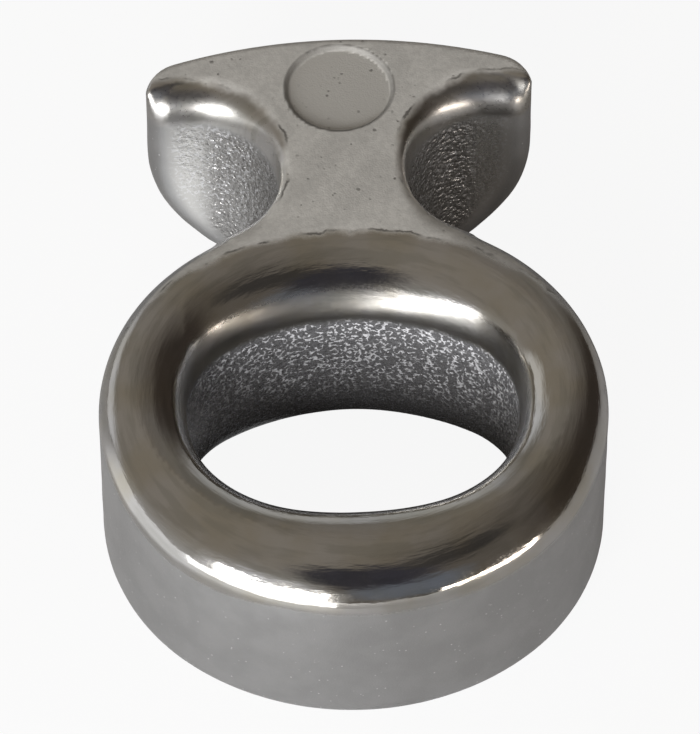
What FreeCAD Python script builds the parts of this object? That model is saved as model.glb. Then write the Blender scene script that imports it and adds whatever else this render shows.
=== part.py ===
import FreeCAD, Part
import math
import os
import Sketcher

# Soft shackle connector: an oval eye joined by a short waist to a wide toggle head.
# One stainless casting. The eye opens along Z and the head lies towards +Y.

doc = FreeCAD.newDocument("SoftShackleConnector")
Vec = FreeCAD.Vector

# Driving sizes in millimetres. Places along the connector are measured from the ring's centre.
sizes = [
    ("body_height", 15.5, "top face to underside"),
    ("ring_half_width", 17.0, "outer oval, across"),
    ("ring_half_length", 15.85, "outer oval, along"),
    ("ring_edge_round", 2.1, "rounding of the ring's outer top edge"),
    ("ring_bevel", 1.1, "bevel around the ring's underside"),
    ("head_bevel", 0.6, "bevel around the underside of the waist and head"),
    ("eye_half_width", 11.1, "eye, across"),
    ("eye_back", 7.2, "eye, from its widest line to its back wall"),
    ("eye_front", 9.6, "eye, from its widest line to its front wall"),
    ("eye_widest", 1.3, "widest line of the eye, towards the head"),
    ("eye_lip_side", 3.6, "rounding of the eye's edges at its sides and below"),
    ("eye_lip_middle", 4.2, "rounding of the eye's top edge in front and behind"),
    ("head_depth", 5.15, "from the scoops' far wall to the middle of the head's back"),
    ("head_back_radius", 37.0, "bow of the head's back"),
    ("head_half_width", 13.3, "toggle head, across"),
    ("waist_half_width", 3.8, "narrowest half width of the waist"),
    ("scoop_radius", 6.0, "rope scoop either side of the waist"),
    ("scoop_reach", 19.0, "centre of the scoops, towards the head"),
    ("scoop_lip", 2.2, "rounding of the scoop's top edge at the head"),
    ("fine_round", 0.6, "top edges of the waist and of the head's back"),
    ("rim_front", 1.2, "rounding of the wings' rims beside the scoops"),
    ("rim_back", 1.9, "rounding of the wings' rims at the head's back"),
    ("root_inset", 0.5, "how far inside the ring's flat top the waist's root ends"),
    ("wing_round", 9.1, "rounded lower part of the wing, from the underside up"),
    ("wing_heel", 9.1, "half width of the head at its underside"),
    ("badge_radius", 3.75, "bare round recess in the head"),
    ("badge_margin", 0.7, "metal between the recess and the head's back"),
    ("badge_depth", 0.35, "depth of the recess"),
]
# Angles and shares: the scoop's wall turns this far before it runs into the ring, and the
# ring's outer rounding takes at most this share of the wall around the eye, and the wings'
# front and back rims at most these shares of their flank
scoop_turn = math.radians(70)
outer_share = 0.42
front_share = 0.45
back_share = 0.71

sheet = doc.addObject("Spreadsheet::Sheet", "Sizes")
for row, (name, value, note) in enumerate(sizes, start=1):
    sheet.set("A%d" % row, str(value))
    sheet.setAlias("A%d" % row, name)
    sheet.set("B%d" % row, note)
doc.recompute()


def size(name):
    return float(getattr(sheet, name))


quarter = math.pi / 2
half_turn = math.pi
full_turn = 2 * math.pi
height = size("body_height")
close = 0.01


def new_sketch(body, name, role, lift=None):
    sketch = body.newObject("Sketcher::SketchObject", name)
    origin_plane = next(f for f in body.Origin.OriginFeatures if f.Role == role)
    sketch.AttachmentSupport = [(origin_plane, "")]
    sketch.MapMode = "FlatFace"
    if lift:
        sketch.setExpression("AttachmentOffset.Base.z", lift)
    return sketch


def add_line(sketch, start, end):
    return sketch.addGeometry(Part.LineSegment(Vec(*start, 0), Vec(*end, 0)), False)


def add_arc(sketch, centre, radius, start, end):
    circle = Part.Circle(Vec(*centre, 0), Vec(0, 0, 1), radius)
    return sketch.addGeometry(Part.ArcOfCircle(circle, start, end), False)


def hold(sketch, formula, kind, *numbers):
    index = sketch.addConstraint(Sketcher.Constraint(kind, *numbers))
    name = "held%d" % index
    sketch.renameConstraint(index, name)
    sketch.setExpression("Constraints." + name, formula)


def join_loop(sketch, loop):
    # Each entry is a curve and the numbers of its first and last ends, going round the loop
    for (curve, _, last), (following, first, _) in zip(loop, loop[1:] + loop[:1]):
        sketch.addConstraint(Sketcher.Constraint("Coincident", curve, last, following, first))


def oval_half(wide, long):
    # Radii of the side and of the bow of half an oval, and the angle where they meet
    slim = math.sqrt(long / wide)
    side = wide * slim ** 3
    bow = wide * (1 + slim + slim ** 2 - slim ** 3) / (2 * slim ** 2)
    rise = 1 + 2 * slim + 3 * slim ** 2 + 2 * slim ** 3
    return side, bow, math.atan2(rise, 2 * slim ** 2 * (1 + slim + slim ** 2))


def add_oval(sketch, wide, middle, back, front):
    # Each of wide, middle, back and front is a value and the formula that gives it
    loop = []
    for lean, (long, formula) in ((1, back), (-1, front)):
        side, bow, join = oval_half(wide[0], long)
        start = 0 if lean > 0 else half_turn
        side_x = lean * (wide[0] - side)
        bow_y = middle[0] + lean * (long - bow)
        first = add_arc(sketch, (side_x, middle[0]), side, start, start + join)
        near = add_arc(sketch, (0, bow_y), bow, start + join, start + quarter)
        far = add_arc(sketch, (0, bow_y), bow, start + quarter, start + half_turn - join)
        last = add_arc(sketch, (-side_x, middle[0]), side, start + half_turn - join, start + half_turn)
        loop += [first, near, far, last]
        for curve in (first, last):
            hold(sketch, "sqrt((%s) ^ 3 / (%s))" % (formula, wide[1]), "Radius", curve, side)
    right, left = loop[0], loop[4]
    hold(sketch, wide[1], "DistanceX", -1, 1, right, 1, wide[0])
    hold(sketch, wide[1], "DistanceX", left, 1, -1, 1, wide[0])
    hold(sketch, "(%s) + (%s)" % (middle[1], back[1]), "DistanceY", -1, 1, loop[1], 2, middle[0] + back[0])
    hold(sketch, "(%s) - (%s)" % (front[1], middle[1]), "DistanceY", loop[5], 2, -1, 1, front[0] - middle[0])
    join_loop(sketch, [(curve, 1, 2) for curve in loop])


def sized(name):
    return size(name), "Sizes." + name


def lies_flat(edge, level):
    box = edge.BoundBox
    return abs(box.ZMin - level) < close and abs(box.ZMax - level) < close


def pick(shape, wanted):
    return [i for i, edge in enumerate(shape.Edges, start=1) if wanted(edge)]


def named(numbers):
    return ["Edge%d" % number for number in numbers]


def with_radii(shape, numbers, radius_at):
    # Gives each edge the radii at its two ends, which blend into each other between them
    rows = []
    for number in numbers:
        edge = shape.Edges[number - 1]
        start = edge.valueAt(edge.FirstParameter)
        end = edge.valueAt(edge.LastParameter)
        rows.append((number, radius_at(start), radius_at(end)))
    return rows


# Ring: an oval drum with an egg-shaped eye through it, flatter towards the head
ring = doc.addObject("PartDesign::Body", "Ring")
ring_plan = new_sketch(ring, "RingPlan", "XY_Plane")
length = sized("ring_half_length")
add_oval(ring_plan, sized("ring_half_width"), (0, "0"), length, length)
drum = ring.newObject("PartDesign::Pad", "Drum")
drum.Profile = ring_plan
drum.setExpression("Length", "Sizes.body_height")
eye_plan = new_sketch(ring, "EyePlan", "XY_Plane")
add_oval(eye_plan, sized("eye_half_width"), sized("eye_widest"), sized("eye_back"), sized("eye_front"))
doc.recompute()
eye = ring.newObject("PartDesign::Pocket", "Eye")
eye.Profile = eye_plan
eye.Reversed = True
eye.Type = "ThroughAll"
doc.recompute()

# The underside's outer edge has a small bevel


def on_outline(edge, plan):
    middle = edge.valueAt((edge.FirstParameter + edge.LastParameter) / 2)
    return plan.Shape.distToShape(Part.Vertex(middle.x, middle.y, 0))[0] < close


def is_low_rim(edge):
    return lies_flat(edge, 0) and on_outline(edge, ring_plan)


drum_bevel = ring.newObject("PartDesign::Chamfer", "DrumBevel")
drum_bevel.Base = (eye, named(pick(eye.Shape, is_low_rim)))
drum_bevel.setExpression("Size", "Sizes.ring_bevel")
doc.recompute()

# The crown: the outer top edge and the eye's edges are rounded, sharing the wall between them.
# The eye's top edge is rounded more in front and behind than at the thinner sides.
wall = ring_plan.Shape.distToShape(eye_plan.Shape)[0]
edge_round = min(size("ring_edge_round"), outer_share * wall)
lip_side = min(size("eye_lip_side"), wall - edge_round - 10 * close)
lip_middle = max(lip_side, size("eye_lip_middle"))


def lip_radius(point):
    return lip_middle if abs(point.x) < close and point.z > height / 2 else lip_side


def is_crown_edge(edge):
    return lies_flat(edge, height) and on_outline(edge, ring_plan)


def is_lip_edge(edge):
    return (lies_flat(edge, 0) or lies_flat(edge, height)) and on_outline(edge, eye_plan)


crown = doc.addObject("Part::Fillet", "Crown")
crown.Base = ring
crown.Edges = with_radii(ring.Shape, pick(ring.Shape, is_crown_edge), lambda point: edge_round) \
    + with_radii(ring.Shape, pick(ring.Shape, is_lip_edge), lip_radius)
doc.recompute()

# Head block: the waist between two rope scoops, and a toggle head with a bowed back.
# Its root ends on the ring's flat top, between the eye's lip and the outer rounding.
head = doc.addObject("PartDesign::Body", "Head")
back_radius = size("head_back_radius")
head_wide = size("head_half_width")
scoop = size("scoop_radius")
scoop_y = size("scoop_reach")
scoop_x = size("waist_half_width") + scoop
wall_y = scoop_y + scoop
reach = wall_y + size("head_depth")
reach_formula = "Sizes.scoop_reach + Sizes.scoop_radius + Sizes.head_depth"
back_y = reach - back_radius
flank_y = back_y + math.sqrt(back_radius ** 2 - head_wide ** 2)
back_angle = math.asin(head_wide / back_radius)
root_end = (scoop_x - scoop * math.cos(scoop_turn), scoop_y - scoop * math.sin(scoop_turn))
root_depth = scoop + edge_round + size("root_inset")
root_corner = (scoop_x - root_depth * math.cos(scoop_turn), scoop_y - root_depth * math.sin(scoop_turn))
lip_end = size("eye_widest") + size("eye_back") + lip_middle
root_y = (lip_end + length[0] - edge_round) / 2
root_sag = max(root_y - root_corner[1], close)
root_radius = (root_corner[0] ** 2 + root_sag ** 2) / (2 * root_sag)
root_angle = math.asin(root_corner[0] / root_radius)

head_plan = new_sketch(head, "HeadPlan", "XY_Plane")
root = add_arc(head_plan, (0, root_y - root_radius), root_radius, quarter - root_angle, quarter + root_angle)
back_arc = add_arc(head_plan, (0, back_y), back_radius, quarter - back_angle, quarter + back_angle)
sides = []
for sign in (-1, 1):
    centre = (sign * scoop_x, scoop_y)
    inward = 0 if sign < 0 else half_turn
    lower_ends = sorted((inward, inward + sign * scoop_turn))
    upper_ends = sorted((inward, inward - sign * quarter))
    root_line = add_line(head_plan, (sign * root_corner[0], root_corner[1]), (sign * root_end[0], root_end[1]))
    lower = add_arc(head_plan, centre, scoop, *lower_ends)
    upper = add_arc(head_plan, centre, scoop, *upper_ends)
    wall_ends = [(sign * scoop_x, wall_y), (sign * head_wide, wall_y)][::-sign]
    flank_ends = [(sign * head_wide, wall_y), (sign * head_wide, flank_y)][::-sign]
    wall_line = add_line(head_plan, *wall_ends)
    flank = add_line(head_plan, *flank_ends)
    sides.append((root_line, lower, upper, wall_line, flank))
    head_plan.addConstraint(Sketcher.Constraint("Horizontal", wall_line))
    head_plan.addConstraint(Sketcher.Constraint("Vertical", flank))
    head_plan.addConstraint(Sketcher.Constraint("Coincident", lower, 3, upper, 3))
    hold(head_plan, "Sizes.scoop_radius", "Radius", upper, scoop)
    hold(head_plan, "Sizes.scoop_reach", "DistanceY", -1, 1, upper, 3, scoop_y)
    span = (upper, 3, -1, 1) if sign < 0 else (-1, 1, upper, 3)
    hold(head_plan, "Sizes.waist_half_width + Sizes.scoop_radius", "DistanceX", *span, scoop_x)
    span = (flank, 1, -1, 1) if sign < 0 else (-1, 1, flank, 1)
    hold(head_plan, "Sizes.head_half_width", "DistanceX", *span, head_wide)
hold(head_plan, "Sizes.head_back_radius", "Radius", back_arc, back_radius)
left, right = sides
join_loop(head_plan, [(root, 1, 2), (left[0], 1, 2), (left[1], 1, 2), (left[2], 1, 2), (left[3], 1, 2),
                      (left[4], 1, 2), (back_arc, 2, 1), (right[4], 1, 2), (right[3], 1, 2),
                      (right[2], 1, 2), (right[1], 1, 2), (right[0], 2, 1)])
doc.recompute()
slab = head.newObject("PartDesign::Pad", "Slab")
slab.Profile = head_plan
slab.setExpression("Length", "Sizes.body_height")
doc.recompute()

# Below their straight flanks the wings are rounded off towards the underside
curve_z = size("wing_round")
heel_x = size("wing_heel")
heel_run = head_wide - heel_x
curve = (heel_run ** 2 + curve_z ** 2) / (2 * heel_run)
run_formula = "(Sizes.head_half_width - Sizes.wing_heel)"
curve_formula = "(%s^2 + Sizes.wing_round^2) / (2 * %s)" % (run_formula, run_formula)
past = head_wide + height
wing_cut = new_sketch(head, "WingCut", "XZ_Plane")
for sign in (-1, 1):
    sweep = math.asin(curve_z / curve)
    start = half_turn if sign < 0 else -sweep
    arc = add_arc(wing_cut, (sign * (head_wide - curve), curve_z), curve, start, start + sweep)
    hold(wing_cut, curve_formula, "Radius", arc, curve)
    outline = [(head_wide, curve_z), (past, curve_z), (past, -height), (heel_x, -height), (heel_x, 0)]
    for first, second in zip(outline, outline[1:]):
        add_line(wing_cut, (sign * first[0], first[1]), (sign * second[0], second[1]))
doc.recompute()
wings = head.newObject("PartDesign::Pocket", "Wings")
wings.Profile = wing_cut
wings.Type = "ThroughAll"
wings.Midplane = True
doc.recompute()


# The two rims of a wing's flank share its length
flank_formula = "sqrt(Sizes.head_back_radius^2 - Sizes.head_half_width^2)" \
    " - Sizes.head_back_radius + Sizes.head_depth"


def is_rim(edge, front):
    box = edge.BoundBox
    outside = min(abs(box.XMin), abs(box.XMax)) > heel_x - close
    return box.ZLength > close and outside and (box.YMax < wall_y + close) == front


front_rims = head.newObject("PartDesign::Fillet", "FrontRims")
front_rims.Base = (wings, named(pick(wings.Shape, lambda edge: is_rim(edge, True))))
front_rims.setExpression("Radius", "min(Sizes.rim_front; %s * (%s))" % (front_share, flank_formula))
doc.recompute()
back_rims = head.newObject("PartDesign::Fillet", "BackRims")
back_rims.Base = (front_rims, named(pick(front_rims.Shape, lambda edge: is_rim(edge, False)
                                         and edge.BoundBox.YMax > flank_y - close)))
back_rims.setExpression("Radius", "min(Sizes.rim_back; %s * (%s))" % (back_share, flank_formula))
doc.recompute()


def is_under_edge(edge):
    box = edge.BoundBox
    inside = min(abs(box.XMin), abs(box.XMax)) < heel_x - close
    return lies_flat(edge, 0) and inside and box.YMin > root_end[1] - close


under = head.newObject("PartDesign::Chamfer", "UnderBevel")
under.Base = (back_rims, named(pick(back_rims.Shape, is_under_edge)))
under.setExpression("Size", "Sizes.head_bevel")
doc.recompute()

# Bare round recess in the head's top
badge_plan = new_sketch(head, "BadgePlan", "XY_Plane", "Sizes.body_height")
badge_y = reach - size("badge_margin") - size("badge_radius")
badge_plan.addGeometry(Part.Circle(Vec(0, badge_y, 0), Vec(0, 0, 1), size("badge_radius")), False)
badge_plan.addConstraint(Sketcher.Constraint("PointOnObject", 0, 3, -2))
badge_formula = reach_formula + " - Sizes.badge_margin - Sizes.badge_radius"
hold(badge_plan, badge_formula, "DistanceY", -1, 1, 0, 3, badge_y)
hold(badge_plan, "Sizes.badge_radius", "Radius", 0, size("badge_radius"))
badge = head.newObject("PartDesign::Pocket", "Badge")
badge.Profile = badge_plan
badge.setExpression("Length", "Sizes.badge_depth")
doc.recompute()

# Top edges: a broad lip where the rope turns under the head, fine edges at the waist,
# and the ring's own rounding where the waist flares into it
fine = size("fine_round")
lip = size("scoop_lip")


def head_radius(point):
    if point.y < scoop_y - close:
        return edge_round
    if point.y > scoop_y + close and point.y < wall_y + close and abs(point.x) < scoop_x + close:
        return lip
    return fine


def is_head_edge(edge):
    box = edge.BoundBox
    on_badge = box.YMin > scoop_y and max(abs(box.XMin), abs(box.XMax)) < size("badge_radius") + close
    return lies_flat(edge, height) and box.YMin > root_end[1] - close and not on_badge


head_lips = doc.addObject("Part::Fillet", "HeadLips")
head_lips.Base = head
head_lips.Edges = with_radii(head.Shape, pick(head.Shape, is_head_edge), head_radius)
doc.recompute()

# The connector is one solid that stands on its underside, centred on the origin in plan
connector = doc.addObject("Part::Fuse", "Connector")
connector.Base = crown
connector.Tool = head_lips
connector.Refine = True
connector.Label = "connector"
connector.setExpression("Placement.Base.y", "(Sizes.ring_half_length - (%s)) / 2" % reach_formula)
doc.recompute()

for item in doc.Objects:
    if "Invalid" in item.State or "Error" in item.State:
        raise RuntimeError("%s did not compute" % item.Label)
if connector.Shape.isNull() or not connector.Shape.isValid():
    raise RuntimeError("the connector has no valid shape")
if len(connector.Shape.Solids) != 1:
    raise RuntimeError("the connector is not one solid")
os.makedirs("parts", exist_ok=True)
connector.Shape.exportStep("parts/%s.step" % connector.Label)
print("wrote", connector.Label, "volume", round(connector.Shape.Volume), "mm3")
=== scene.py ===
import math

import bpy
import numpy as np
from mathutils import Matrix, Vector


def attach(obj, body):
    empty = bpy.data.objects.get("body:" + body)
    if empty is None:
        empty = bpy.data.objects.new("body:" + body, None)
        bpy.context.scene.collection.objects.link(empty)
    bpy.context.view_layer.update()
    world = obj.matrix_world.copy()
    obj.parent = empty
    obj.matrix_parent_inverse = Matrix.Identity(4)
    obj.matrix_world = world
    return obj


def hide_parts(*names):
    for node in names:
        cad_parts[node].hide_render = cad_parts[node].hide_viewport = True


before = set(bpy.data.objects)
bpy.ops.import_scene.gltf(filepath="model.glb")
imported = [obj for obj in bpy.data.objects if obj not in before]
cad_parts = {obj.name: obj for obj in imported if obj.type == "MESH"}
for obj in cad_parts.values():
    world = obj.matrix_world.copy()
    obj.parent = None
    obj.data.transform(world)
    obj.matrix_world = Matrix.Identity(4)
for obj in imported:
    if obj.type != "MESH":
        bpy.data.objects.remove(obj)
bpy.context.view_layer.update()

mm = 0.001


def wayTo(turn, rise):
    # the way out from the part: degrees round it from straight in front, and above the table
    turn, rise = math.radians(turn), math.radians(rise)
    return Vector((math.sin(turn) * math.cos(rise), -math.cos(turn) * math.cos(rise), math.sin(rise)))


cameraSet = {
    "aim": (-0.18, -5.13, 15.5),    # point on the flat top that the lens looks at, mm
    "distance": 465.3,              # mm
    "rise": 53.97,                  # degrees above the table
    "swing": -2.34,                 # degrees round the part
    "lean": 0.13,                   # degrees of tilt in the picture
    "focal": 343.3, "sensor": 36,   # a long lens, mm
    "nearest": 0.01, "farthest": 20,    # m
}


def placeCamera():
    swing, lean = math.radians(cameraSet["swing"]), math.radians(cameraSet["lean"])
    back = wayTo(cameraSet["swing"], cameraSet["rise"])
    side = Vector((math.cos(swing), math.sin(swing), 0))
    up = back.cross(side)
    turnedSide = side * math.cos(lean) + up * math.sin(lean)
    turnedUp = up * math.cos(lean) - side * math.sin(lean)
    lens = bpy.data.cameras.new("tableCamera")
    lens.lens = cameraSet["focal"]
    lens.sensor_width = cameraSet["sensor"]
    lens.clip_start = cameraSet["nearest"]
    lens.clip_end = cameraSet["farthest"]
    camera = bpy.data.objects.new("tableCamera", lens)
    bpy.context.scene.collection.objects.link(camera)
    spot = (Vector(cameraSet["aim"]) + back * cameraSet["distance"]) * mm
    turned = Matrix((turnedSide, turnedUp, back)).transposed().to_4x4()
    camera.matrix_world = Matrix.Translation(spot) @ turned
    bpy.context.scene.camera = camera


placeCamera()
print("camera placed")


# The connector's form, in mm with the ring's middle at x 0, y 0 and the table at z 0.
form = {
    "height": 15.5,
    "ringPlace": -7.15,             # ring's middle in the frame, along y
    "ringWide": 17.0, "ringLong": 15.85,
    "ringRound": 2.4,               # round of the ring's outer top edge
    "ringRoundFront": 4.64,         # in front, where it is ground to a crown
    "ringUnderRound": 1.9, "headUnderRound": 1.0,   # soft edges around the underside
    "eyeWide": 11.1, "eyeBack": 7.2, "eyeFront": 9.6, "eyeMiddle": 1.3,
    "eyeSquare": 2.35,              # 2 is a plain oval; more fills the eye's front corners
    "lipSide": 3.6, "lipBack": 5.75, "lipFront": 3.3, "lipUnder": 2.6,  # rounds of the eye's rim
    "crownCorner": 22,              # degrees left where the ground crown meets the cast wall
    "cornerSoft": (0.5, 0.3),       # mm that the corner is softened, in full from this many radians
    "backRadius": 37.0, "backMiddle": -6.85,        # bow of the head's back
    "wingWide": 13.3, "wingFlank": 6.4, "wingCurve": 11.96,
    "scoopPlace": (10.2, 19.0), "scoopRadius": 6.0, "scoopTurn": 70, "scoopHook": 0.55,
    "scoopDraft": 1.3,              # how much narrower the cast scoop is at the table
    "scoopLip": 2.5, "waistLip": 0.8, "fineRound": 0.6,
    "rimFront": 1.9, "rimBack": 2.1,
    "rootBlend": 2.2,               # soft corner between the ring and the waist
    "badgePlace": 25.7, "badgeRadius": 3.75, "badgeDepth": 0.35,
    "badgeEdge": (-0.32, 0.02),     # its floor rises to the top between these
    # where one rounding takes over from another, from and to:
    "lipFade": (0.1, 0.9),          # share of the turn from the waist to the head
    "scoopFade": (-1.2, 0.6), "ringFade": (-1.0, 1.5),
    "frontFade": (-2, 11),          # before the ring's middle
    "backFade": (-3, 5),            # behind it
    # unevenness: height in mm, and the seed and length of its waves
    "crownWaviness": 0.018, "crownRipple": (11, 6),     # left by hand polishing
    "crownLow": 1.2,                # how much lower it leaves the crown, in waves
    "crownReach": 14.5, "crownSquash": 1.05, "crownFade": (-3, 1), "crownStart": (0.02, 0.4),
    "castWaviness": 0.009, "castRipple": (5, 3.2),      # left by the sand mould
    "castLow": 0.02, "castStart": (0.3, 3), "castEnd": (0.2, 2),
    "softness": 2.3,                # 2 is a plain round; more eases it into the faces
}


def halfOval(x, y, wide, long):
    # four-arc oval: a small arc at the long ends, a large one across, tangent where they join
    big, small = max(wide, long), min(wide, long)
    slim = math.sqrt(small / big)
    endRadius = big * slim ** 3
    bowRadius = big * (1 + slim + slim ** 2 - slim ** 3) / (2 * slim ** 2)
    along, across = (np.abs(x), np.abs(y)) if wide >= long else (np.abs(y), np.abs(x))
    endPlace, bowPlace = big - endRadius, bowRadius - small
    onBow = endPlace * (across + bowPlace) - bowPlace * along > 0
    toBow = np.hypot(along, across + bowPlace) - bowRadius
    toEnd = np.hypot(along - endPlace, across) - endRadius
    return np.where(onBow, toBow, toEnd)


def squaredOval(x, y, wide, long, power):
    across, along = np.abs(x) / wide + 1e-6, np.abs(y) / long + 1e-6
    reach = (across ** power + along ** power) ** (1 / power)
    slope = np.hypot(across ** (power - 1) / wide, along ** (power - 1) / long) * reach ** (1 - power)
    return (reach - 1) / slope


def easeStep(value, start, end):
    t = np.clip((value - start) / (end - start), 0, 1)
    return t * t * (3 - 2 * t)


def mixed(a, b, share):
    return a + (b - a) * share


def softCorner(u, v, radius):
    # the part inside both faces, which are given from the start of their shared rounding
    p = form["softness"]
    arc = (np.maximum(u, 1e-9) ** p + np.maximum(v, 1e-9) ** p) ** (1 / p)
    return np.minimum(np.maximum(u, v), 0) + arc - radius


def roundMeet(a, b, radius):
    return softCorner(a + radius, b + radius, radius)


def crownMeet(a, b, inset, corner):
    # a crown that leaves the top smoothly and meets the wall in a faint corner
    radius = inset / np.cos(corner)
    arc = softCorner(a + inset, b + radius, radius)
    soft, full = form["cornerSoft"]
    return -softJoin(-a, -arc, soft * np.minimum(corner / full, 1) + 1e-3)


def softJoin(a, b, width):
    h = np.maximum(width - np.abs(a - b), 0) / width
    return np.minimum(a, b) - h * h * h * width / 6


def ripple(x, y, z, seed, step):
    # smooth, seeded unevenness: a sum of a few waves in scattered directions
    dice = np.random.default_rng(seed)
    total = 0
    for _ in range(9):
        way = dice.normal(size=3)
        way *= 2 * math.pi / (step * dice.uniform(0.7, 1.6)) / np.linalg.norm(way)
        total = total + np.sin(way[0] * x + way[1] * y + way[2] * z + dice.uniform(0, 6.28))
    return total / 3


def scoopAir(x, y, z):
    # the open mouth on one side of the waist
    placeX, placeY = form["scoopPlace"]
    radius = form["scoopRadius"] - form["scoopDraft"] * np.clip(1 - z / form["height"], 0, 1)
    side = np.abs(x) - placeX
    deep = y - placeY
    mouth = np.hypot(np.minimum(side, 0) + np.maximum(side, 0) * form["scoopHook"], deep) - radius
    turn = math.radians(form["scoopTurn"])
    rootLine = np.maximum(-(math.sin(turn) * side - math.cos(turn) * deep), deep)
    return np.minimum(mouth, rootLine)


def scoopTurns(x, y):
    # how far round the scoop: 0 at the waist, 1 at the head's wall, and 0 to 1 down to the root
    placeX, placeY = form["scoopPlace"]
    side, deep = placeX - np.abs(x), y - placeY
    turnUp = np.clip(np.arctan2(deep, side) / (math.pi / 2), 0, 1)
    turnDown = np.clip(np.arctan2(-deep, side) / math.radians(form["scoopTurn"]), 0, 1)
    return turnUp, turnDown


def connectorParts(x, y, z):
    # signed distances to the faces, less than 0 in the metal
    height = form["height"]
    top, under = z - height, -z
    ring = halfOval(x, y, form["ringWide"], form["ringLong"])
    eyeY = y - form["eyeMiddle"]
    eye = -np.where(
        eyeY > 0,
        halfOval(x, eyeY, form["eyeWide"], form["eyeBack"]),
        squaredOval(x, eyeY, form["eyeWide"], form["eyeFront"], form["eyeSquare"]),
    )
    back = np.hypot(x, y - form["backMiddle"]) - form["backRadius"]
    flankZ = height - form["wingFlank"]
    curveX = form["wingWide"] - form["wingCurve"]
    flank = np.where(
        z > flankZ,
        np.abs(x) - form["wingWide"],
        np.hypot(np.maximum(np.abs(x) - curveX, 0), np.minimum(z - flankZ, 0)) - form["wingCurve"],
    )
    return top, under, ring, eye, back, flank, -scoopAir(x, y, z)


def connectorField(x, y, z):
    top, under, ring, eye, back, flank, scoop = connectorParts(x, y, z)
    rear = roundMeet(back, flank, form["rimBack"])
    front = roundMeet(scoop, flank, form["rimFront"])
    head = np.maximum(rear, front)
    onRing = easeStep(head - ring, *form["ringFade"])
    inFront = easeStep(-y, *form["frontFade"])
    inBack = easeStep(y, *form["backFade"])
    # the scoop's lip is broad under the head, fine at the waist, and the ring's own at the root
    turnUp, turnDown = scoopTurns(x, y)
    lip = mixed(form["waistLip"], form["scoopLip"], easeStep(turnUp, *form["lipFade"]))
    lip = lip + (form["ringRound"] - form["waistLip"]) * turnDown ** 2
    headRound = mixed(form["fineRound"], lip, easeStep(scoop - rear, *form["scoopFade"]))
    ringRound = mixed(form["ringRound"], form["ringRoundFront"], inFront)
    topRound = mixed(headRound, ringRound, onRing)
    underRound = mixed(form["headUnderRound"], form["ringUnderRound"], onRing)
    outer = softJoin(ring, head, form["rootBlend"])
    corner = math.radians(form["crownCorner"])
    body = crownMeet(outer, top, topRound, corner * inFront * onRing)
    body = np.maximum(body, roundMeet(outer, under, underRound))
    # the eye's rim is broadest in the middle of its back
    middle = 1 - np.clip(np.abs(x) / form["eyeWide"], 0, 1) ** 2
    lipMiddle = mixed(form["lipFront"], form["lipBack"], inBack)
    eyeRound = mixed(form["lipSide"], lipMiddle, middle)
    body = np.maximum(body, crownMeet(eye, top, eyeRound, corner * middle * inBack))
    body = np.maximum(body, roundMeet(eye, under, form["lipUnder"]))
    badge = np.hypot(x, y - form["badgePlace"]) - form["badgeRadius"]
    sunk = form["badgeDepth"] * (1 - easeStep(badge, *form["badgeEdge"]))
    body = np.maximum(body, top + sunk)
    # cast faces away from the flat top and the table wave a little, and so does the crown
    cast = easeStep(-top, *form["castStart"]) * easeStep(-under, *form["castEnd"])
    waves = ripple(x, y, z, *form["castRipple"])
    body = body + cast * (form["castWaviness"] * waves + form["castLow"])
    fromEdge = form["crownReach"] - np.hypot(x, y * form["crownSquash"])
    crown = easeStep(fromEdge, *form["crownFade"]) * easeStep(-top, *form["crownStart"])
    waves = ripple(x, y, z, *form["crownRipple"]) + form["crownLow"]
    return body + crown * form["crownWaviness"] * waves


# The grid that the skin is found on, in mm. It is finer around the recess and near the top.
meshSet = {
    "step": 0.36,
    "edge": 0.5,                    # margin around the part
    "behind": 30.7,                 # the grid's far end along y
    "fineX": (-4.5, 4.5, 0.25), "fineY": (20.5, 29.9, 0.25),    # from, to and step
    "fineTop": (3, 0.2),            # depth and step
    "rounds": 4,                    # of evening out
}


def gridLine(low, high, fineLow, fineHigh, fineStep):
    places = [low]
    while places[-1] < high:
        fine = fineLow <= places[-1] < fineHigh
        places.append(places[-1] + (fineStep if fine else meshSet["step"]))
    return np.array(places)


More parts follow.
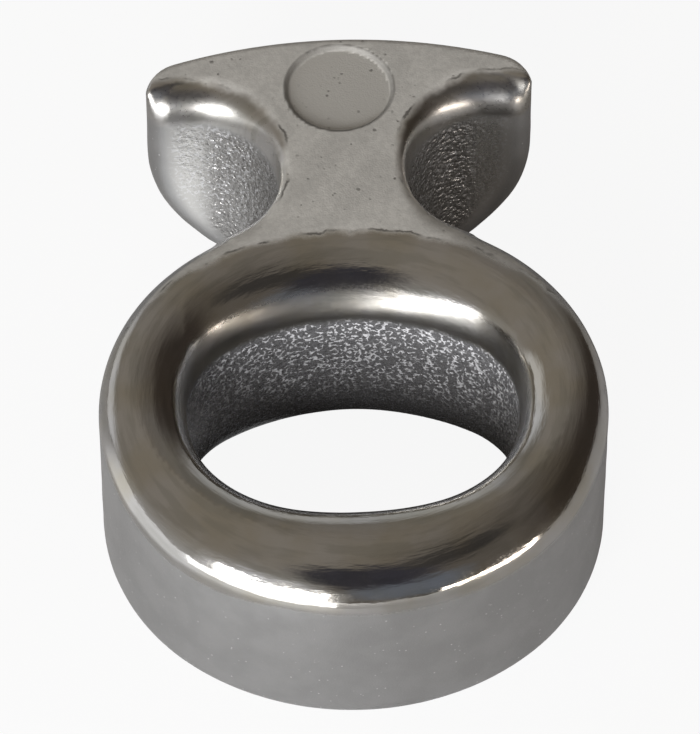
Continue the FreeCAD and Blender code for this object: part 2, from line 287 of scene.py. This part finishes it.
def skinOf(field, xs, ys, zs):
    # surface nets: one vertex in each grid cell that the surface crosses
    grid = np.meshgrid(xs, ys, zs, indexing="ij")
    value = field(*grid)
    inside = value < 0
    shape = tuple(n - 1 for n in value.shape)
    count = np.zeros(shape, np.int8)
    total = np.zeros(shape + (3,))
    crossings = np.zeros(shape)
    lines = (xs, ys, zs)
    for i in (0, 1):
        for j in (0, 1):
            for k in (0, 1):
                count += inside[i:i + shape[0], j:j + shape[1], k:k + shape[2]]
    # each cell's vertex is the mean of the places where its edges cross the surface
    for axis in range(3):
        first = [slice(None)] * 3
        second = [slice(None)] * 3
        first[axis], second[axis] = slice(0, -1), slice(1, None)
        a, b = value[tuple(first)], value[tuple(second)]
        crossed = (a < 0) != (b < 0)
        share = np.where(crossed, a / np.where(crossed, a - b, 1), 0)
        place = [g[tuple(first)] * np.ones_like(a) for g in grid]
        gap = np.diff(lines[axis]).reshape([-1 if n == axis else 1 for n in range(3)])
        place[axis] = place[axis] + share * gap
        others = [n for n in range(3) if n != axis]
        for p in (0, 1):
            for q in (0, 1):
                cut = [slice(None)] * 3
                cut[others[0]] = slice(p, p + shape[others[0]])
                cut[others[1]] = slice(q, q + shape[others[1]])
                cut = tuple(cut)
                crossings += crossed[cut]
                for n in range(3):
                    total[..., n] += place[n][cut] * crossed[cut]
    active = (count > 0) & (count < 8)
    number = np.full(shape, -1)
    number[active] = np.arange(active.sum())
    points = total[active] / np.maximum(crossings[active], 1)[:, None]
    # each crossed edge gives a quad between the four cells around it
    quads = []
    for axis in range(3):
        others = [(axis + 1) % 3, (axis + 2) % 3]
        first = [slice(1, -1)] * 3
        second = [slice(1, -1)] * 3
        first[axis], second[axis] = slice(0, -1), slice(1, None)
        a, b = inside[tuple(first)], inside[tuple(second)]
        at = np.argwhere(a != b)
        leaves = a[a != b]
        at[:, others] += 1
        corner = []
        for p, q in ((0, 0), (1, 0), (1, 1), (0, 1)):
            cell = at.copy()
            cell[:, others[0]] -= 1 - p
            cell[:, others[1]] -= 1 - q
            corner.append(number[cell[:, 0], cell[:, 1], cell[:, 2]])
        quad = np.stack(corner, 1)
        quad[~leaves] = quad[~leaves][:, ::-1]
        quads.append(quad)
    return points, np.concatenate(quads)


def slopeOf(field, points, reach=0.01):
    slope = np.empty_like(points)
    for n in range(3):
        move = np.zeros(3)
        move[n] = reach
        ahead, behind = points + move, points - move
        slope[:, n] = (field(*ahead.T) - field(*behind.T)) / (2 * reach)
    return slope


def unit(vectors):
    return vectors / np.linalg.norm(vectors, axis=1)[:, None]


def settle(field, points, quads):
    # even out the vertices along the surface and put them back on it
    edges = np.concatenate([quads[:, ends] for ends in ([0, 1], [1, 2], [2, 3], [3, 0])])
    weight = np.bincount(edges.ravel(), minlength=len(points))[:, None]
    rounds = meshSet["rounds"]
    for n in range(rounds):
        if n < rounds - 1:
            reach = np.zeros_like(points)
            for c in range(3):
                reach[:, c] = np.bincount(edges[:, 0], points[edges[:, 1], c], len(points))
                reach[:, c] += np.bincount(edges[:, 1], points[edges[:, 0], c], len(points))
            normal = unit(slopeOf(field, points))
            shift = reach / weight - points
            shift -= normal * (shift * normal).sum(1)[:, None]
            points = points + shift * 0.5
        for _ in range(3):
            slope = slopeOf(field, points)
            size = np.maximum((slope ** 2).sum(1), 0.25)
            points = points - slope * (field(*points.T) / size)[:, None]
    return points, unit(slopeOf(field, points))


def runOf(points):
    # across the ring in mm, and the way round it: polishing marks and the painted facet reflections
    # follow the ring
    x, y = points[:, 0], points[:, 1]
    far = np.maximum(np.hypot(x, y), 0.1)
    return np.stack([-halfOval(x, y, form["ringWide"], form["ringLong"]), 2 * x / far, 2 * y / far], 1)


# Where each finish ends, in mm. Depths are from the flat top.
zones = {
    "crownLong": 13.4, "crownWide": 16.9,       # the polished crown's edge behind the eye
    "crownFront": 0.35,                         # how much it widens for each mm to the front
    "crownSharp": 1.6,                          # its edge is sharper in depth than in plan
    "outerDepth": 2.4,                          # polish down the ring's outside
    "outerFront": 0.7, "outerLeft": 0.55,       # more of it in front, and most on the left
    "outerFade": (2, 12), "leftFade": (5, 10),
    "innerDepth": 4.0, "innerBack": 0.45,       # polish down into the eye, less at its back
    "innerFade": (0, 6),
    "lipDepth": 0.9,                            # below this the eye's lips are less fine
    "wallDepth": 3.9, "wallBack": 0.35, "wallReach": 1.5,   # the eye's cast wall
    "scoopDepth": 2.4, "scoopReach": 0.9,       # the scoops' cast walls
    "scoopFlank": 1.7, "wingFlank": 1.3,        # how far they and the wing's face stay from the flank
    "ringGap": 0.9,                             # and from the ring
    "scoopLipDepth": 2.6, "scoopLipWide": 0.4, "scoopLipHead": 1.5,
    "badgeInset": 0.15, "badgeDepth": 1,
    "wellOff": 6,                               # a distance that no edge's softness reaches
}


def finishZones(points):
    # signed distances from the edge of each finish; the material turns them into masks
    x, y, z = points.T
    top, _, ring, eye, _, flank, scoop = connectorParts(x, y, z)
    nearEye = eye > ring
    acrossCrown = x * zones["crownLong"] / zones["crownWide"]
    crownEdge = zones["crownLong"] - np.hypot(acrossCrown, np.maximum(y, 0))
    crownEdge = crownEdge + zones["crownFront"] * np.maximum(-y, 0)
    middle = 1 - np.clip(np.abs(x) / form["eyeWide"], 0, 1) ** 2
    middle = middle * easeStep(y, *zones["innerFade"])
    outerMore = zones["outerFront"] + zones["outerLeft"] * easeStep(-x, *zones["leftFade"])
    outerDepth = zones["outerDepth"] + outerMore * easeStep(-y, *zones["outerFade"])
    innerDepth = zones["innerDepth"] - zones["innerBack"] * middle
    crownDepth = np.where(nearEye, innerDepth, outerDepth)
    wallDepth = zones["wallDepth"] - zones["wallBack"] * middle
    # the scoops' wall and lip both end before the ring
    offRing = ring - zones["ringGap"]
    wall = np.minimum(scoop + zones["scoopReach"], np.minimum(-top - zones["scoopDepth"], offRing))
    lipWide = zones["scoopLipWide"] + zones["scoopLipHead"] * scoopTurns(x, y)[0]
    scoopLip = np.minimum(scoop + lipWide, top + zones["scoopLipDepth"])
    badge = form["badgeRadius"] - zones["badgeInset"] - np.hypot(x, y - form["badgePlace"])
    return {
        "crownEdge": crownEdge,
        "crownDepth": (top + crownDepth) * zones["crownSharp"],
        "innerLip": np.where(nearEye, -top - zones["lipDepth"], -zones["wellOff"]),
        "eyeWall": np.minimum(eye + zones["wallReach"], -top - wallDepth),
        "scoopWall": np.minimum(wall, -flank - zones["scoopFlank"]),
        "wingFace": np.minimum(wall, -flank - zones["wingFlank"]),
        "scoopLip": np.minimum(scoopLip, offRing),
        "flatTop": top,
        "badge": badge - zones["wellOff"] * (-top > zones["badgeDepth"]),
    }


def buildConnector():
    edge, height = meshSet["edge"], form["height"]
    wide = form["ringWide"] + edge
    fineDepth, fineStep = meshSet["fineTop"]
    xs = gridLine(-wide, wide, *meshSet["fineX"])
    ys = gridLine(-form["ringLong"] - edge, meshSet["behind"], *meshSet["fineY"])
    zs = gridLine(-edge, height + edge, height - fineDepth, height + edge, fineStep)
    points, quads = skinOf(connectorField, xs, ys, zs)
    points, normals = settle(connectorField, points, quads)
    mesh = bpy.data.meshes.new("connectorBody")
    mesh.vertices.add(len(points))
    placed = (points + np.array([0, form["ringPlace"], 0])) * mm
    mesh.vertices.foreach_set("co", placed.astype(np.float32).ravel())
    mesh.loops.add(quads.size)
    mesh.loops.foreach_set("vertex_index", quads.astype(np.int32).ravel())
    mesh.polygons.add(len(quads))
    mesh.polygons.foreach_set("loop_start", np.arange(0, quads.size, 4, dtype=np.int32))
    mesh.update(calc_edges=True)
    mesh.validate()
    mesh.shade_smooth()
    mesh.normals_split_custom_set_from_vertices(normals.astype(np.float32))
    for name, value in finishZones(points).items():
        zone = mesh.attributes.new(name, "FLOAT", "POINT")
        zone.data.foreach_set("value", value.astype(np.float32))
    ringRun = mesh.attributes.new("ringRun", "FLOAT_VECTOR", "POINT")
    ringRun.data.foreach_set("vector", runOf(points).astype(np.float32).ravel())
    body = bpy.data.objects.new("connectorBody", mesh)
    bpy.context.scene.collection.objects.link(body)
    print("connector meshed:", len(points), "vertices,", len(quads) * 2, "triangles")
    return body


body = buildConnector()
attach(body, "root")
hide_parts("connector")
print("connector in place")


def newMaterial(name):
    material = bpy.data.materials.new(name)
    material.use_nodes = True
    return material, material.node_tree, material.node_tree.nodes["Principled BSDF"]


def newNode(tree, kind, **settings):
    node = tree.nodes.new(kind)
    for key, value in settings.items():
        setattr(node, key, value)
    return node


def isSocket(value):
    return isinstance(value, bpy.types.NodeSocket)


def feed(socket, value):
    # the value is another node's output, a colour or a number
    if isSocket(value):
        socket.id_data.links.new(value, socket)
    elif isinstance(value, tuple):
        socket.default_value = (*value, 1)
    else:
        socket.default_value = value


def math2(operation, a, b):
    node = newNode((a if isSocket(a) else b).id_data, "ShaderNodeMath", operation=operation)
    feed(node.inputs[0], a)
    feed(node.inputs[1], b)
    return node.outputs[0]


def vector2(operation, a, b=(0, 0, 0), result="Vector"):
    node = newNode(a.id_data, "ShaderNodeVectorMath", operation=operation)
    feed(node.inputs[0], a)
    node.inputs[1].default_value = b
    return node.outputs[result]


def ramp(fac, low, high, toLow=0, toHigh=1, smooth=True):
    easing = "SMOOTHSTEP" if smooth else "LINEAR"
    node = newNode(fac.id_data, "ShaderNodeMapRange", interpolation_type=easing)
    for key, value in zip(("From Min", "From Max", "To Min", "To Max"), (low, high, toLow, toHigh)):
        node.inputs[key].default_value = value
    feed(node.inputs["Value"], fac)
    return node.outputs["Result"]


def between(value, start, full, fade, end):
    # 1 from full to fade, and 0 before start and after end
    return math2("MULTIPLY", ramp(value, start, full), ramp(value, end, fade))


def mixColour(fac, a, b):
    node = newNode(fac.id_data, "ShaderNodeMix", data_type="RGBA")
    feed(node.inputs[0], fac)
    feed(node.inputs[6], a)
    feed(node.inputs[7], b)
    return node.outputs[2]


def mixValue(fac, a, b):
    node = newNode(fac.id_data, "ShaderNodeMix", data_type="FLOAT")
    feed(node.inputs[0], fac)
    feed(node.inputs[2], a)
    feed(node.inputs[3], b)
    return node.outputs[0]


def darker(colour, share):
    return tuple(c * share for c in colour)


def cosine(degrees):
    return math.cos(math.radians(degrees))


# The steel's finishes. A dark share is how much of the colour is left in the darker places.
finish = {
    "polishColour": (0.56, 0.55, 0.54), "polishWarm": (0.51, 0.485, 0.43), "polishRough": 0.10,
    # painted reflections: darker stripes along the ring for the dark reflections of its polishing
    # facets
    "facetReflectionColour": (0.36, 0.36, 0.33), "facetReflectionShare": 0.4,
    "lipRough": 0.37, "scoopLipRough": 0.30,
    "satinColour": (0.395, 0.396, 0.398), "satinDark": 0.9, "satinRough": 0.36, "satinMetal": 0.9,
    # painted highlights: near-white dots on the satin stand in for sparkles of light
    "sparkleColour": (0.95, 0.95, 0.95), "sparkleShare": 0.6,
    "sparkleCells": 1900, "sparkleSize": (0.16, 0.06),
    "topColour": (0.67, 0.66, 0.63), "topDark": 0.88, "topRough": 0.60, "topMetal": 0.25,
    "speckleDark": 0.35, "speckleShare": 0.16,
    "wallColour": (0.46, 0.465, 0.49), "wallRough": 0.27, "wallMetal": 0.65,
    "wallShade": 0.5, "wallShadeFrom": (6.5, 2),      # painted shade: the eye's wall darkens between these heights above the table, mm
    "scoopColour": (0.30, 0.295, 0.29), "scoopMetal": 0.95,
    "wearAndSheenColour": (0.66, 0.655, 0.64), "wearAndSheenFrom": (8.0, 10.6),     # rope wear and painted sheen, mm from the middle
    # painted highlights: the glints are pale strokes of colour on the cast walls
    "glintColour": (0.95, 0.96, 1.0), "glintMetal": 0.0, "glintInScoop": 0.35,
    "glintLevels": (0.415, 0.450, 0.525, 0.560),    # the strokes lie between these levels
    "badgeColour": (0.61, 0.60, 0.57), "badgeRough": 0.6,
    # dark marks: darker colour for dashes at the polish's edge, the badge's rim and pits
    "darkMarksColour": (0.045, 0.04, 0.035), "darkMarksShare": 0.7, "rimDarkMarks": 0.75,
    "edgeWander": 0.22,                             # how far the polish's edge wanders, mm
    "pitCells": 1700, "pitSize": (0.26, 0.08), "pitRagged": 0.12,
    "fineRough": 0.03, "polishRoughFrom": (0.75, 1.5),
    # relief: depths in mm and strengths
    "castDeep": 0.34, "castInEye": 0.6, "castInScoop": 0.62, "castWorn": 0.2,
    "blastDeep": 0.03, "blastStrong": 0.55,
    "pitDeep": 0.025,
    "streakDeep": 0.07, "streakStrong": 0.6,
}

# Each finish fades in between these two distances from its zone's edge, in mm. The dark
# marks also fade out, between the last two of four.
zoneFades = {
    "crownEdge": (-0.35, 0.45), "crownDepth": (-0.5, 0.6), "innerLip": (0, 1.2),
    "eyeWall": (-0.35, 0.6), "scoopWall": (-0.4, 1.0), "wingFace": (-0.3, 0.8),
    "scoopLip": (-0.3, 0.5), "flatTop": (-0.5, -0.3), "badge": (-0.05, 0.1),
    "darkMarksOnTop": (-0.9, -0.4),
    "darkMarksEdge": (-0.16, -0.06, 0.0, 0.10), "darkMarksRim": (-0.32, -0.15, 0.02, 0.2),
}

# Noises: scale to the metre, detail, roughness, and the two levels that each fades in between.
# The painted facet reflections and the streaks are the ring's own, and their scale is to the mm.
grain = {
    "edgeWander": (500, 4, 0.6, 0.3, 0.7),
    "patches": (330, 4, 0.55, 0.35, 0.65),
    "speckle": (2400, 3, 0.7, 0.38, 0.62),
    "sparklePlaces": (1500, 1, 0.5, 0.50, 0.60),
    "glints": (2100, 1, 0.4),
    "glintBreaks": (3600, 1, 0.5, 0.45, 0.53),
    "warmPatches": (260, 3, 0.5, 0.35, 0.7),
    "facetReflectionBands": (1.1, 3, 0.55, 0.47, 0.62),
    "dashes": (420, 3, 0.5, 0.46, 0.60),
    "pitRagged": (1900, 2, 0.5, 0.3, 0.7),
    "pitPlaces": (900, 2, 0.5, 0.50, 0.66),
    "polishRough": (500, 4, 0.5, 0.3, 0.7),
    "fineRough": (5200, 2, 0.5, 0.3, 0.7),
    "castRelief": (2900, 2, 0.5),
    "blastRelief": (7500, 3, 0.6),
    "streaks": (1.3, 4, 0.6),
}


def dressSteel():
    steel, tree, shader = newMaterial("steel")
    place = newNode(tree, "ShaderNodeTexCoord").outputs["Object"]
    axes = newNode(tree, "ShaderNodeSeparateXYZ")
    feed(axes.inputs[0], place)
    run = newNode(tree, "ShaderNodeAttribute", attribute_name="ringRun").outputs["Vector"]

    def noise(name, vector=place):
        node = newNode(tree, "ShaderNodeTexNoise")
        for key, value in zip(("Scale", "Detail", "Roughness"), grain[name]):
            node.inputs[key].default_value = value
        feed(node.inputs["Vector"], vector)
        return node.outputs["Fac"]

    def spread(name, toLow=0, toHigh=1, smooth=True, vector=place):
        # a noise, faded between its own two levels
        low, high = grain[name][3:]
        return ramp(noise(name, vector), low, high, toLow, toHigh, smooth)

    def cells(scale):
        node = newNode(tree, "ShaderNodeTexVoronoi")
        node.inputs["Scale"].default_value = scale
        feed(node.inputs["Vector"], place)
        return node.outputs["Distance"]

    def fromEdge(name):
        return newNode(tree, "ShaderNodeAttribute", attribute_name=name).outputs["Fac"]

    def inZone(name, wander=0):
        edge = math2("ADD", fromEdge(name), wander) if isSocket(wander) else fromEdge(name)
        return ramp(edge, *zoneFades[name])

    def relief(height, distance, strength, below=None):
        node = newNode(tree, "ShaderNodeBump")
        node.inputs["Distance"].default_value = distance * mm
        feed(node.inputs["Height"], height)
        feed(node.inputs["Strength"], strength)
        if below is not None:
            feed(node.inputs["Normal"], below)
        return node.outputs[0]

    wander = spread("edgeWander", -finish["edgeWander"], finish["edgeWander"], False)
    polish = math2("MULTIPLY", inZone("crownEdge", wander), inZone("crownDepth"))
    scoopLip = inZone("scoopLip", wander)
    eyeWall = inZone("eyeWall", wander)
    scoopWall = inZone("scoopWall", wander)
    innerLip = inZone("innerLip")
    flatTop = inZone("flatTop")
    badge = inZone("badge")
    polished = math2("MAXIMUM", polish, scoopLip)
    castWall = math2("MAXIMUM", eyeWall, scoopWall)

    # blasted faces: a pale top and a darker satin, with a few painted sparkles: near-white dots that
    # stand in for glints
    patches = spread("patches")
    topTint = mixColour(patches, finish["topColour"], darker(finish["topColour"], finish["topDark"]))
    speckle = spread("speckle", 0, finish["speckleShare"])
    topTint = mixColour(speckle, topTint, darker(finish["topColour"], finish["speckleDark"]))
    satinDark = darker(finish["satinColour"], finish["satinDark"])
    satinTint = mixColour(patches, finish["satinColour"], satinDark)
    paintedSparkles = ramp(cells(finish["sparkleCells"]), *finish["sparkleSize"])
    paintedSparkles = math2("MULTIPLY", paintedSparkles, spread("sparklePlaces"))
    paintedSparkles = math2("MULTIPLY", paintedSparkles, finish["sparkleShare"])
    satinTint = mixColour(paintedSparkles, satinTint, finish["sparkleColour"])
    colour = mixColour(flatTop, satinTint, topTint)
    colour = mixColour(badge, colour, finish["badgeColour"])

    # cast walls: painted highlights, short bright strokes of pale colour where facets would catch the
    # light, and none deep down
    strokes = between(noise("glints"), *finish["glintLevels"])
    strokes = math2("MULTIPLY", strokes, spread("glintBreaks"))
    shadeFrom, shadeTo = finish["wallShadeFrom"]
    deep = ramp(axes.outputs["Z"], shadeFrom * mm, shadeTo * mm)
    glints = math2("MULTIPLY", strokes, castWall)
    glints = math2("MULTIPLY", glints, math2("SUBTRACT", 1, deep))
    # painted shade: the eye's wall is coloured darker towards the bottom, where less light reaches
    wallTint = mixColour(deep, finish["wallColour"], darker(finish["wallColour"], finish["wallShade"]))
    colour = mixColour(eyeWall, colour, wallTint)
    colour = mixColour(scoopWall, colour, finish["scoopColour"])

    # rope wear and painted sheen: the scoops' faces are painted lighter towards the wing tips,
    # standing in for the bright sheen there
    wearAndSheenFrom, wearAndSheenTo = finish["wearAndSheenFrom"]
    wearAndSheen = ramp(math2("ABSOLUTE", axes.outputs["X"], 0), wearAndSheenFrom * mm, wearAndSheenTo * mm)
    wearAndSheenFace = math2("MULTIPLY", inZone("wingFace"), wearAndSheen)
    colour = mixColour(wearAndSheenFace, colour, finish["wearAndSheenColour"])
    # painted highlights: the glint strokes are mixed into the colour, fewer in the scoops
    glintShare = math2("MULTIPLY", glints, ramp(scoopWall, 0, 1, 1, finish["glintInScoop"]))
    colour = mixColour(glintShare, colour, finish["glintColour"])

    # polish: warmer patches, and painted reflections: darker stripes along the ring that stand in for
    # the dark reflections of its uneven polishing facets
    polishTint = mixColour(spread("warmPatches"), finish["polishColour"], finish["polishWarm"])
    facetReflectionBands = spread("facetReflectionBands", 0, finish["facetReflectionShare"], vector=run)
    polishTint = mixColour(facetReflectionBands, polishTint, finish["facetReflectionColour"])
    colour = mixColour(polished, colour, polishTint)

    # darker colour in short dashes where the polishing stopped, a darker ring at the badge's rim, and
    # dark pits in the blasted faces
    edgeBand = between(math2("ADD", fromEdge("crownEdge"), wander), *zoneFades["darkMarksEdge"])
    lipBand = between(math2("ADD", fromEdge("scoopLip"), wander), *zoneFades["darkMarksEdge"])
    rimBand = between(fromEdge("badge"), *zoneFades["darkMarksRim"])
    onTop = ramp(fromEdge("flatTop"), *zoneFades["darkMarksOnTop"])
    darkMarks = math2("MULTIPLY", math2("MAXIMUM", edgeBand, lipBand), spread("dashes"))
    darkMarks = math2("MULTIPLY", darkMarks, onTop)
    darkMarks = math2("MAXIMUM", darkMarks, math2("MULTIPLY", rimBand, finish["rimDarkMarks"]))
    blasted = math2("MULTIPLY", flatTop, math2("SUBTRACT", 1, polished))
    ragged = spread("pitRagged", -finish["pitRagged"], finish["pitRagged"], False)
    pits = ramp(math2("ADD", cells(finish["pitCells"]), ragged), *finish["pitSize"])
    pits = math2("MULTIPLY", math2("MULTIPLY", pits, spread("pitPlaces")), blasted)
    dark = math2("MULTIPLY", math2("MAXIMUM", darkMarks, pits), finish["darkMarksShare"])
    colour = mixColour(dark, colour, finish["darkMarksColour"])
    feed(shader.inputs["Base Color"], colour)

    # roughness
    low, high = (finish["polishRough"] * share for share in finish["polishRoughFrom"])
    crownRough = mixValue(innerLip, spread("polishRough", low, high, False), finish["lipRough"])
    rough = mixValue(flatTop, finish["satinRough"], finish["topRough"])
    rough = mixValue(badge, rough, finish["badgeRough"])
    rough = mixValue(castWall, rough, finish["wallRough"])
    rough = mixValue(scoopLip, rough, finish["scoopLipRough"])
    rough = mixValue(polish, rough, crownRough)
    fine = spread("fineRough", -finish["fineRough"], finish["fineRough"], False)
    feed(shader.inputs["Roughness"], math2("ADD", rough, fine))

    # the blasted faces scatter light as much as they mirror it
    metal = mixValue(flatTop, finish["satinMetal"], finish["topMetal"])
    wallMetal = mixValue(glints, finish["wallMetal"], finish["glintMetal"])
    metal = mixValue(eyeWall, metal, wallMetal)
    metal = mixValue(scoopWall, metal, finish["scoopMetal"])
    metal = mixValue(polished, metal, 1)
    feed(shader.inputs["Metallic"], metal)

    # relief: coarse sand cast walls, a finer blast on the rest, pits, hair lines on the polish
    inEye = math2("MULTIPLY", eyeWall, finish["castInEye"])
    inScoop = ramp(wearAndSheen, 0, 1, finish["castInScoop"], finish["castWorn"])
    inScoop = math2("MULTIPLY", scoopWall, inScoop)
    blast = mixValue(polished, finish["blastStrong"], 0)
    hairLines = math2("MULTIPLY", polish, finish["streakStrong"])
    skin = relief(noise("castRelief"), finish["castDeep"], math2("MAXIMUM", inEye, inScoop))
    skin = relief(noise("blastRelief"), finish["blastDeep"], blast, skin)
    skin = relief(pits, -finish["pitDeep"], 1, skin)
    skin = relief(noise("streaks", run), finish["streakDeep"], hairLines, skin)
    feed(shader.inputs["Normal"], skin)
    return steel


body.data.materials.append(dressSteel())
print("steel dressed")

scene = bpy.context.scene
scene.view_settings.view_transform = "Standard"

studio = {
    "room": (0.138, 0.121, 0.102),
    # soft patches of the room: turn from the front and rise in degrees, inner and outer reach, colour
    "patches": (
        (180, 12, 32, 44, (0.205, 0.190, 0.169)),   # the wall behind, up to the ceiling's corner
        (-75, 14, 24, 74, (0.44, 0.43, 0.41)),      # pale wall on the left
        (175, -2, 12, 34, (0.50, 0.50, 0.50)),      # pale low part behind
        (110, 14, 22, 49, (0.050, 0.040, 0.033)),   # dark curtain on the right
        (18, 24, 12, 26, (0.165, 0.18, 0.21)),      # low part in front, right of the middle
        (-105, 52, 25, 62, (0.29, 0.262, 0.226)),   # pale ceiling on the left
        (-31, 8, 8, 31, (0.80, 0.81, 0.84)),        # glow around the key lamp
        (4, 53, 13, 25, (0.050, 0.048, 0.058)),     # dark card above the lens
        (56, 60, 6, 17, (0.055, 0.050, 0.045)),     # dark beam beside it
        (-128, 2, 14, 30, (0.72, 0.72, 0.73)),      # bright low strip behind on the left
    ),
    "floorSize": 3,                 # m
    "floorColour": (0.60, 0.60, 0.605), "floorRough": 0.8,
    "floorShown": 0.92,             # share of plain white that the lens sees on the floor
    # Painted reflections: the metal mirrors two parts of the floor that glow plain white for glossy
    # rays only, measured from the ring's middle. The first has its turn, inner and outer half spread
    # in degrees, and where it starts in mm. The second has its place, inner and outer reach in mm.
    "floorMirrored": (-55, 34, 52, 27, 36),
    "floorInScoop": (-10.5, 15.0, 5.5, 10.0),
}

# Soft lamps: turn and rise in degrees, distance, width and height in metres, power, colour, and
# whether the metal mirrors them. The sky lamp only lights the surfaces.
lamps = {
    "keyLamp": (-30, 10.5, 0.62, 0.42, 0.235, 3.4, (1.0, 0.99, 0.98), True),
    "bandLamp": (-32, 10, 0.044, 0.040, 0.012, 0.003, (0.98, 0.99, 1.0), True),
    "skyLamp": (-20, 28, 0.62, 0.26, 0.26, 2.3, (1.0, 0.99, 0.98), False),
    "warmLamp": (48, 4.5, 0.62, 0.42, 0.09, 0.90, (1.0, 0.90, 0.80), True),
}


def layTable():
    bpy.ops.mesh.primitive_plane_add(size=studio["floorSize"], location=(0, 0, 0))
    floor = bpy.context.object
    floor.name = "tableTop"
    paint, tree, shader = newMaterial("paleTable")
    feed(shader.inputs["Base Color"], studio["floorColour"])
    feed(shader.inputs["Roughness"], studio["floorRough"])
    plainWhite = newNode(tree, "ShaderNodeEmission")
    rays = newNode(tree, "ShaderNodeLightPath")
    place = newNode(tree, "ShaderNodeTexCoord").outputs["Object"]
    place = vector2("SUBTRACT", place, (0, form["ringPlace"] * mm, 0))

    # painted reflection: a sector that starts some way out, in front on the left, glows white for
    # glossy rays
    turn, inner, outer, near, far = studio["floorMirrored"]
    facing = vector2("DOT_PRODUCT", vector2("NORMALIZE", place), wayTo(turn, 0), "Value")
    inSector = ramp(facing, cosine(outer), cosine(inner))
    reach = vector2("LENGTH", place, result="Value")
    mirrored = math2("MULTIPLY", inSector, ramp(reach, near * mm, far * mm))

    # painted reflection: a round spot in the left scoop glows white for glossy rays, for the scoop's
    # walls to mirror
    spotX, spotY, inner, outer = studio["floorInScoop"]
    fromSpot = vector2("SUBTRACT", place, (spotX * mm, spotY * mm, 0))
    fromSpot = vector2("LENGTH", fromSpot, result="Value")
    mirrored = math2("MAXIMUM", mirrored, ramp(fromSpot, outer * mm, inner * mm))

    share = math2("MULTIPLY", rays.outputs["Is Camera Ray"], studio["floorShown"])
    # painted reflections: glossy rays see the glowing parts as plain white
    share = math2("ADD", share, math2("MULTIPLY", rays.outputs["Is Glossy Ray"], mirrored))
    mix = newNode(tree, "ShaderNodeMixShader")
    feed(mix.inputs[0], share)
    feed(mix.inputs[1], shader.outputs[0])
    feed(mix.inputs[2], plainWhite.outputs[0])
    feed(tree.nodes["Material Output"].inputs["Surface"], mix.outputs[0])
    floor.data.materials.append(paint)


def hangLamp(name, turn, rise, far, wide, high, power, colour, mirrored):
    lamp = bpy.data.lights.new(name, "AREA")
    lamp.shape = "RECTANGLE"
    lamp.size, lamp.size_y = wide, high
    lamp.energy = power
    lamp.color = colour
    holder = bpy.data.objects.new(name, lamp)
    bpy.context.scene.collection.objects.link(holder)
    way = wayTo(turn, rise)
    holder.location = way * far + Vector((0, form["ringPlace"] * mm, 0))
    holder.rotation_euler = (-way).to_track_quat("-Z", "Y").to_euler()
    holder.visible_camera = False
    holder.visible_glossy = mirrored


def paintRoom():
    world = bpy.data.worlds.new("studio")
    scene.world = world
    world.use_nodes = True
    tree = world.node_tree
    way = newNode(tree, "ShaderNodeTexCoord").outputs["Generated"]
    room = studio["room"]
    for turn, rise, inner, outer, colour in studio["patches"]:
        facing = vector2("DOT_PRODUCT", way, wayTo(turn, rise), "Value")
        room = mixColour(ramp(facing, cosine(outer), cosine(inner)), room, colour)
    feed(tree.nodes["Background"].inputs["Color"], room)
    feed(tree.nodes["Background"].inputs["Strength"], 1)


layTable()
for lampName, settings in lamps.items():
    hangLamp(lampName, *settings)
paintRoom()
print("studio lit")
